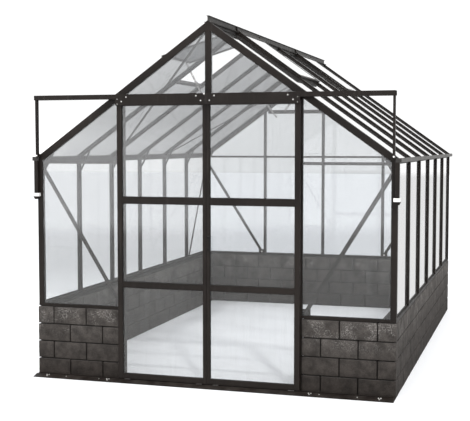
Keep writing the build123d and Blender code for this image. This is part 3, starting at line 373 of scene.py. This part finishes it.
def clear_glass(name, rear_tint=WHITE):
    """Thin pane: clear, darker at a slant, a mirror at a grazing angle, with dust and drips.

    rear_tint darkens the panes behind the middle of the greenhouse.
    """
    f = Finish(name)
    through = f.node("ShaderNodeBsdfTransparent")
    shade = f.noise(f.place, 1.6, 3.0)
    through_tint = f.mix(shade, tuple(c * 0.985 for c in GLASS_TINT), GLASS_TINT)
    facing = f.node("ShaderNodeLayerWeight").outputs["Facing"]
    through_tint = f.mix(f.spread(facing, 0.25, 0.66), through_tint, GLASS_SLANT_TINT)
    through_tint = f.mix(f.spread(facing, 0.68, 0.80), through_tint, GLASS_STEEP_TINT)
    axes = f.node("ShaderNodeSeparateXYZ")
    f.put(axes.inputs[0], f.place)
    towards_rear = f.spread(axes.outputs[1], -0.1, 0.1)
    by_place = f.mix(towards_rear, WHITE, rear_tint)
    through_tint = f.mix(1.0, through_tint, by_place, "MULTIPLY")
    f.put(through.inputs["Color"], through_tint)
    mirror = f.node("ShaderNodeBsdfGlossy")
    f.put(mirror.inputs["Color"], WHITE)
    smear = f.noise(f.stretched(f.place, (7.0, 7.0, 2.0)), 1.0, 4.0, 0.6)
    f.put(mirror.inputs["Roughness"], f.spread(smear, 0.35, 0.75, 0.015, 0.06))
    waves = f.bump(f.noise(f.place, 2.2, 1.0), 0.08, 6.0 * MM)
    f.put(mirror.inputs["Normal"], waves)
    fresnel = f.node("ShaderNodeFresnel")
    ior = f.spread(f.backfacing, 0.0, 1.0, GLASS_IOR, 1 / GLASS_IOR, smooth=False)
    f.put(fresnel.inputs["IOR"], ior)
    reflected = f.spread(fresnel.outputs[0], 0.04, 1.0, 0.042, 0.085, smooth=False)
    grazing = f.spread(facing, MIRROR_START, MIRROR_FULL, 0.0, MIRROR_SHARE)
    reflected = f.math("MAXIMUM", reflected, grazing)
    pane = f.node("ShaderNodeMixShader")
    f.put(pane.inputs[0], reflected)
    f.put(pane.inputs[1], through.outputs[0])
    f.put(pane.inputs[2], mirror.outputs[0])
    dust = f.node("ShaderNodeBsdfDiffuse")
    f.put(dust.inputs["Color"], f.mix(smear, (0.62, 0.65, 0.64), (0.74, 0.76, 0.76)))
    drips = f.noise(f.stretched(f.place, (45.0, 45.0, 3.0)), 1.0, 4.0, 0.6)
    amount = f.math("MULTIPLY", f.spread(drips, 0.42, 0.8), f.spread(smear, 0.3, 0.8, 0.4, 1.0))
    dirty = f.node("ShaderNodeMixShader")
    cover = f.math("ADD", f.math("MULTIPLY", amount, GLASS_FILM), GLASS_FILM * 0.35)
    f.put(dirty.inputs[0], cover)
    f.put(dirty.inputs[1], pane.outputs[0])
    f.put(dirty.inputs[2], dust.outputs[0])
    end = f.node("ShaderNodeOutputMaterial")
    f.put(end.inputs["Surface"], dirty.outputs[0])
    return f.material


def pale_plastic():
    """Weathered off-white plastic with grime."""
    f = Finish("collar_plastic")
    mottle = f.noise(f.place, 60.0, 4.0)
    colour = f.mix(f.spread(mottle, 0.35, 0.7), (0.80, 0.79, 0.77), (0.70, 0.685, 0.66))
    grime = f.math("MULTIPLY", f.spread(f.noise(f.place, 22.0, 5.0), 0.5, 0.75), 0.35)
    colour = f.mix(grime, colour, (0.42, 0.39, 0.35))
    roughness = f.spread(mottle, 0.3, 0.7, 0.38, 0.55)
    return f.finish(colour, roughness, f.bump(mottle, 0.15, 0.4 * MM))


def plated_steel(name, bright, dull, rough):
    """Zinc-plated steel with spangle, fine brushing and dull patches."""
    f = Finish(name)
    spangle = f.cells(f.place, 240.0)
    patch = f.spread(f.noise(f.place, 70.0, 4.0), 0.38, 0.68)
    colour = f.mix(patch, bright, dull)
    colour = f.mix(f.math("MULTIPLY", f.spread(spangle, 0.1, 0.6), 0.2), colour, dull)
    brushed = f.noise(f.stretched(f.place, (1800.0, 1800.0, 90.0)), 1.0, 2.0)
    roughness = f.spread(patch, 0.0, 1.0, rough - 0.08, rough + 0.12)
    normal = f.bump(brushed, 0.12, 0.1 * MM)
    return f.finish(colour, roughness, normal, Metallic=0.85)


def turned_nylon():
    """Yellowed nylon, worn in patches."""
    f = Finish("roller_nylon")
    wear = f.spread(f.noise(f.place, 160.0, 4.0), 0.35, 0.7)
    colour = f.mix(wear, (0.66, 0.64, 0.58), (0.52, 0.49, 0.43))
    return f.finish(colour, f.spread(wear, 0.0, 1.0, 0.42, 0.6), f.bump(wear, 0.2, 0.3 * MM))


def seal_rubber():
    """Black glazing seal, slightly bloomed."""
    f = Finish("seal_rubber")
    bloom = f.spread(f.noise(f.place, 40.0, 5.0), 0.42, 0.75)
    colour = f.mix(bloom, (0.010, 0.010, 0.010), (0.030, 0.029, 0.028))
    roughness = f.spread(bloom, 0.0, 1.0, 0.55, 0.75)
    pores = f.noise(f.place, 900.0, 2.0)
    return f.finish(colour, roughness, f.bump(pores, 0.2, 0.2 * MM), Specular_IOR_Level=0.3)


make_camera()
make_sun()
make_world()
make_floor()

finishes = {
    "block": split_block(),
    "mortar": raked_mortar(),
    "frame_metal": powder_coat(
        "frame_metal", (0.0098, 0.0073, 0.0060), (0.085, 0.077, 0.068), 0.28, 0.46
    ),
    "ridge_metal": powder_coat(
        "ridge_metal", (0.034, 0.032, 0.030), (0.15, 0.14, 0.13), 0.45, 0.5
    ),
    "glass": clear_glass("glass"),
    "collar_plastic": pale_plastic(),
    "bolt_steel": plated_steel("bolt_steel", (0.86, 0.85, 0.83), (0.62, 0.61, 0.59), 0.36),
    "gear_steel": plated_steel("gear_steel", (0.36, 0.35, 0.34), (0.20, 0.19, 0.185), 0.42),
    "roller_nylon": turned_nylon(),
}
rubber = seal_rubber()
# CAD nodes whose finish differs from the rest of their slot.
special = {
    "gable_glass": clear_glass("gable_panes", REAR_TINT),
    "gutters": powder_coat(
        "gutter_metal", (0.030, 0.028, 0.026), (0.17, 0.165, 0.155), 0.45, 0.5, 0.32
    ),
    "door_handle": powder_coat(
        "handle_black", (0.0045, 0.0042, 0.0040), (0.05, 0.048, 0.045), 0.22, 0.4
    ),
}

for name, node in nodes.items():
    node.data.materials.clear()
    node.data.materials.append(special.get(name, finishes[node_slots[name]]))


# ---------------------------------------------------------------- reading the frame
def islands(node_name):
    """Each separate solid of a CAD node, as its vertex places and its triangles."""
    mesh = nodes[node_name].data
    places = np.empty(len(mesh.vertices) * 3, np.float32)
    mesh.vertices.foreach_get("co", places)
    places = places.reshape(-1, 3).astype(float)
    keys = {}
    merged = [keys.setdefault(tuple(np.round(p, 5)), len(keys)) for p in places]
    points = np.array(list(keys))
    parent = list(range(len(points)))

    def root(i):
        while parent[i] != i:
            parent[i] = parent[parent[i]]
            i = parent[i]
        return i

    faces = [[merged[v] for v in p.vertices] for p in mesh.polygons]
    for face in faces:
        for v in face[1:]:
            parent[root(v)] = root(face[0])
    groups = {}
    for face in faces:
        groups.setdefault(root(face[0]), []).append(face)
    found = []
    for group in groups.values():
        used = sorted({v for face in group for v in face})
        at = {v: i for i, v in enumerate(used)}
        found.append((points[used], [[at[v] for v in face] for face in group]))
    return sorted(found, key=lambda island: tuple(np.round(island[0].mean(0), 4)))


def new_piece(name, vertices, faces, material, body, smooth=False):
    """A mesh piece that rides on a body."""
    mesh = bpy.data.meshes.new(name)
    mesh.from_pydata([tuple(v) for v in vertices], [], faces)
    mesh.update()
    mesh.validate()
    mesh.materials.append(material)
    if smooth:
        mesh.polygons.foreach_set("use_smooth", [True] * len(mesh.polygons))
    piece = bpy.data.objects.new(name, mesh)
    bpy.context.scene.collection.objects.link(piece)
    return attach(piece, body)


# ---------------------------------------------------------------- block masonry
BLOCK_PITCH = 19 * MM
BLOCK_EDGE_LINES = (0.0, 1.6 * MM, 4.0 * MM, 8.0 * MM)
BLOCK_EASE_REACH = 9 * MM
BLOCK_ROUGHNESS = 0.9 * MM


def stops(length, pitch):
    """Places of the mesh lines along one side of a block, closer together near its ends."""
    near = list(BLOCK_EDGE_LINES)
    inner = length - 2 * near[-1]
    count = max(2, round(inner / pitch))
    middle = [near[-1] + inner * i / count for i in range(1, count)]
    return near + middle + [length - d for d in reversed(near)]


def rough_block(low, high, seed, vertices, faces, tones):
    """Adds one block: eased, chipped arrises and uneven faces, all inside the CAD block."""
    chance = random.Random(seed)
    lines = [stops(b - a, BLOCK_PITCH) for a, b in zip(low, high)]
    last = [len(line) - 1 for line in lines]
    index = {}
    size = [b - a for a, b in zip(low, high)]
    tone = chance.random()
    sunk = chance.uniform(0, 0.7) * MM
    shift = Vector((chance.uniform(0, 50), chance.uniform(0, 50), chance.uniform(0, 50)))

    def vertex(i, j, k):
        key = (i, j, k)
        if key in index:
            return index[key]
        at = [lines[0][i], lines[1][j], lines[2][k]]
        place = Vector([low[n] + at[n] for n in range(3)])
        sample = place + shift
        rough = noise.noise(sample * 28) * 0.5 + noise.noise(sample * 75) * 0.35
        chip = max(0.0, noise.noise(sample * 17) + 0.12) * 2.4
        for n in range(3):
            gaps = [min(at[m], size[m] - at[m]) for m in range(3) if m != n]
            edge = max(0.0, 1 - min(gaps) / BLOCK_EASE_REACH)
            ease = edge**2.6 * (2.4 + 2.2 * chip) * MM
            inset = ease + sunk + (0.75 + rough) * BLOCK_ROUGHNESS
            if (i, j, k)[n] == 0:
                place[n] += inset
            elif (i, j, k)[n] == last[n]:
                place[n] -= inset
        index[key] = len(vertices)
        vertices.append(place)
        tones.append(tone)
        return index[key]

    for axis in range(3):
        u, v = [n for n in range(3) if n != axis]
        for end in (0, last[axis]):
            outward = end != 0
            for a in range(last[u]):
                for b in range(last[v]):
                    loop = []
                    for da, db in ((0, 0), (1, 0), (1, 1), (0, 1)):
                        key = [0, 0, 0]
                        key[axis] = end
                        key[u] = a + da
                        key[v] = b + db
                        loop.append(vertex(*key))
                    if outward == (axis == 1):
                        loop.reverse()
                    faces.append(loop)


def build_walls():
    """One piece of rough blocks for each wall, in place of its CAD node."""
    for number, wall in enumerate(("wall_front", "wall_left", "wall_right", "wall_rear")):
        vertices, faces, tones = [], [], []
        for order, (points, _) in enumerate(islands(wall)):
            seed = 1000 * number + order
            rough_block(points.min(0), points.max(0), seed, vertices, faces, tones)
        name = wall.replace("wall_", "") + "_blockwork"
        piece = new_piece(name, vertices, faces, finishes["block"], "greenhouse", smooth=True)
        layer = piece.data.attributes.new("tone", "FLOAT", "POINT")
        layer.data.foreach_set("value", tones)
        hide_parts(wall)


# ---------------------------------------------------------------- glazing seals
SEAL_LAP = 0.3 * MM


def pane_outline(points):
    """A pane's middle, two axes in its plane, its normal, half its thickness, its outline."""
    centre = points.mean(0)
    _, _, axes = np.linalg.svd(points - centre, full_matrices=False)
    normal = axes[2]
    depth = (points - centre) @ normal
    half = depth.max()
    top = points[depth > 0]
    middle = top.mean(0) - normal * half
    u, v = axes[0], np.cross(normal, axes[0])
    flat = np.stack([(top - middle) @ u, (top - middle) @ v], 1)
    turn = np.arctan2(flat[:, 1], flat[:, 0])
    flat = flat[np.argsort(turn)]
    return middle, u, v, normal, half, flat


def seal_strips(points, width, thickness, wanted, vertices, faces):
    """Mitred strips along the pane's edges on both faces, with a rounded outer corner."""
    middle, u, v, normal, half, flat = pane_outline(points)
    count = len(flat)
    runs = []
    for i in range(count):
        along = flat[(i + 1) % count] - flat[i]
        along = along / np.linalg.norm(along)
        runs.append((along, np.array([-along[1], along[0]])))
    profile = (
        (SEAL_LAP, 0.0),
        (SEAL_LAP, thickness),
        (width * 0.62, thickness),
        (width * 0.88, thickness * 0.62),
        (width, 0.0),
    )

    def corner(i, inset, rise, side):
        """One profile point at a mitred corner of the pane."""
        before, after = runs[i - 1], runs[i]
        lean = before[1] + after[1]
        lean = lean / (1 + before[1] @ after[1])
        flat_place = flat[i] + lean * inset
        return middle + u * flat_place[0] + v * flat_place[1] + normal * side * (half + rise)

    for i in range(count):
        direction = u * runs[i][0][0] + v * runs[i][0][1]
        if not wanted(direction):
            continue
        for side in (-1, 1):
            start = len(vertices)
            for end in (i, (i + 1) % count):
                vertices.extend(corner(end, inset, rise, side) for inset, rise in profile)
            steps = len(profile)
            for n in range(steps):
                m = (n + 1) % steps
                loop = [start + n, start + m, start + steps + m, start + steps + n]
                faces.append(loop if side > 0 else loop[::-1])
            near = [start + n for n in range(steps)]
            far = [start + steps + n for n in range(steps)]
            faces.append(near[::-1] if side > 0 else near)
            faces.append(far if side > 0 else far[::-1])


def any_edge(_direction):
    return True


def along_slope(direction):
    return abs(direction[1]) < 0.5


def build_seals():
    """Seals round every pane. The roof panes have them only beside the bars.

    Each job is a node, its body, the seal's width and thickness in millimetres, and which edges.
    """
    jobs = [
        ("door_left_glass", "door_left", 3.0, 3.0, any_edge),
        ("door_right_glass", "door_right", 3.0, 3.0, any_edge),
        ("side_glass", "greenhouse", 12.6, 0.8, any_edge),
        ("gable_glass", "greenhouse", 3.0, 0.8, any_edge),
        ("roof_glass", "greenhouse", 12.6, 0.8, along_slope),
    ]
    for vent in ("vent_left_front", "vent_left_rear", "vent_right_front", "vent_right_rear"):
        jobs.append((vent + "_glass", vent, 3.5, 2.0, any_edge))
    for node_name, body, width, thickness, wanted in jobs:
        vertices, faces = [], []
        for points, _ in islands(node_name):
            seal_strips(points, width * MM, thickness * MM, wanted, vertices, faces)
        new_piece(node_name.replace("_glass", "_seals"), vertices, faces, rubber, body)


# ---------------------------------------------------------------- fasteners
HEAD_SIDES = 6
HEAD_FLANGE = 1.35
HEAD_AROUND = 24


def dome_bolt(centre, normal, radius, height, vertices, faces):
    """A hexagonal head with chamfered crown on a round flange."""
    normal = Vector(normal).normalized()
    turn = normal.to_track_quat("Z", "Y").to_matrix()
    sides, flange, around = HEAD_SIDES, HEAD_FLANGE, HEAD_AROUND
    rings = []

    def ring(r, z, corner_r=None):
        """A round ring, or a hexagonal one when it has a corner radius."""
        start = len(vertices)
        for n in range(around):
            angle = 2 * math.pi * n / around
            reach = r
            if corner_r is not None:
                half_side = math.pi / sides
                part = (angle + half_side) % (2 * math.pi / sides) - half_side
                reach = min(r * math.cos(half_side) / math.cos(part), corner_r)
            spot = Vector((reach * math.cos(angle), reach * math.sin(angle), z))
            vertices.append(centre + turn @ spot)
        rings.append(start)

    ring(radius * flange, 0)
    ring(radius * flange, height * 0.16)
    ring(radius * flange * 0.93, height * 0.26)
    ring(radius, height * 0.34, radius)
    ring(radius, height * 0.86, radius)
    ring(radius * 0.93, height * 0.96)
    ring(radius * 0.72, height)
    for low, high in zip(rings, rings[1:]):
        for n in range(around):
            m = (n + 1) % around
            faces.append([low + n, low + m, high + m, high + n])
    faces.append([rings[-1] + n for n in range(around)])
    faces.append([rings[0] + n for n in reversed(range(around))])


RAMP_BOLTS_TOP = 40 * MM
FRONT_FRAMES_BACK = -1830 * MM


def head_normal(points):
    """The way a bolt head faces: up on the ramp, or along y, off the member that it holds."""
    _, y, z = points.mean(0)
    centred = points - points.mean(0)
    _, _, axes = np.linalg.svd(centred, full_matrices=False)
    shortest = Vector(axes[2])
    if z < RAMP_BOLTS_TOP:
        return shortest if shortest.z > 0 else -shortest
    indoors_at_front = FRONT_FRAMES_BACK < y < 0
    wanted = 1 if indoors_at_front else -1
    return shortest if shortest.y * wanted > 0 else -shortest


# x, z and radius of the screws in the head plates, in millimetres.
SMALL_SCREWS = (
    (-7, 1994, 3.4),
    (636, 1966, 1.8),
    (636, 1932, 1.8),
    (-636, 1966, 1.8),
    (-636, 1932, 1.8),
)
PLATE_FACE_Y = -1913 * MM
HEAD_PLATES_BOTTOM = 1.9
HEAD_PLATE_SHARE = 0.66
OTHER_SHARE = 0.86


def build_bolts():
    """Hexagon heads in place of the CAD bolts, and small screws in the head plates."""
    vertices, faces = [], []
    for x, z, radius in SMALL_SCREWS:
        place = Vector((x * MM, PLATE_FACE_Y, z * MM))
        dome_bolt(place, (0, -1, 0), radius * MM, radius * 0.6 * MM, vertices, faces)
    for points, _ in islands("frame_bolts"):
        normal = head_normal(points)
        centre = Vector(points.mean(0))
        depth = [(Vector(p) - centre).dot(normal) for p in points]
        radius = max((Vector(p) - centre - normal * d).length for p, d in zip(points, depth))
        foot = centre + normal * min(depth)
        on_head_plate = centre.z > HEAD_PLATES_BOTTOM
        share = HEAD_PLATE_SHARE if on_head_plate else OTHER_SHARE
        dome_bolt(foot, normal, radius * share, max(depth) - min(depth), vertices, faces)
    piece = new_piece("bolt_heads", vertices, faces, finishes["bolt_steel"], "greenhouse")
    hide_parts("frame_bolts")


# ---------------------------------------------------------------- ridge clips
def soft_boxes(name, boxes, bevel, material, body):
    """Boxes with rounded edges, as one piece."""
    shape = bmesh.new()
    for low, high in boxes:
        middle = [(a + b) / 2 for a, b in zip(low, high)]
        size = [b - a for a, b in zip(low, high)]
        place = Matrix.Translation(middle) @ Matrix.Diagonal((*size, 1))
        bmesh.ops.create_cube(shape, size=1, matrix=place)
    edges = shape.edges[:]
    bmesh.ops.bevel(shape, geom=edges, offset=bevel, segments=2, affect="EDGES", profile=0.6)
    mesh = bpy.data.meshes.new(name)
    shape.to_mesh(mesh)
    shape.free()
    mesh.materials.append(material)
    piece = bpy.data.objects.new(name, mesh)
    bpy.context.scene.collection.objects.link(piece)
    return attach(piece, body)


# y, width and top of each pair of clips, in millimetres.
CLIPS = ((-1195, 12, 2516), (665, 12, 2516), (-575, 8, 2502), (1285, 8, 2502))
CLIP_FOOT = 2484
CLIP_INNER, CLIP_OUTER = 3.2, 14


def build_ridge_clips():
    """Clips on both faces of the ridge fin, at the ends of the vents' hinge lines."""
    boxes = []
    for y, width, top in CLIPS:
        for left, right in ((CLIP_INNER, CLIP_OUTER), (-CLIP_OUTER, -CLIP_INNER)):
            low = (left * MM, (y - width / 2) * MM, CLIP_FOOT * MM)
            high = (right * MM, (y + width / 2) * MM, top * MM)
            boxes.append((low, high))
    soft_boxes("ridge_clips", boxes, 1.2 * MM, finishes["frame_metal"], "greenhouse")


build_walls()
build_seals()
build_bolts()
build_ridge_clips()

bpy.context.scene.view_settings.view_transform = "Standard"
bpy.context.scene.view_settings.look = "None"
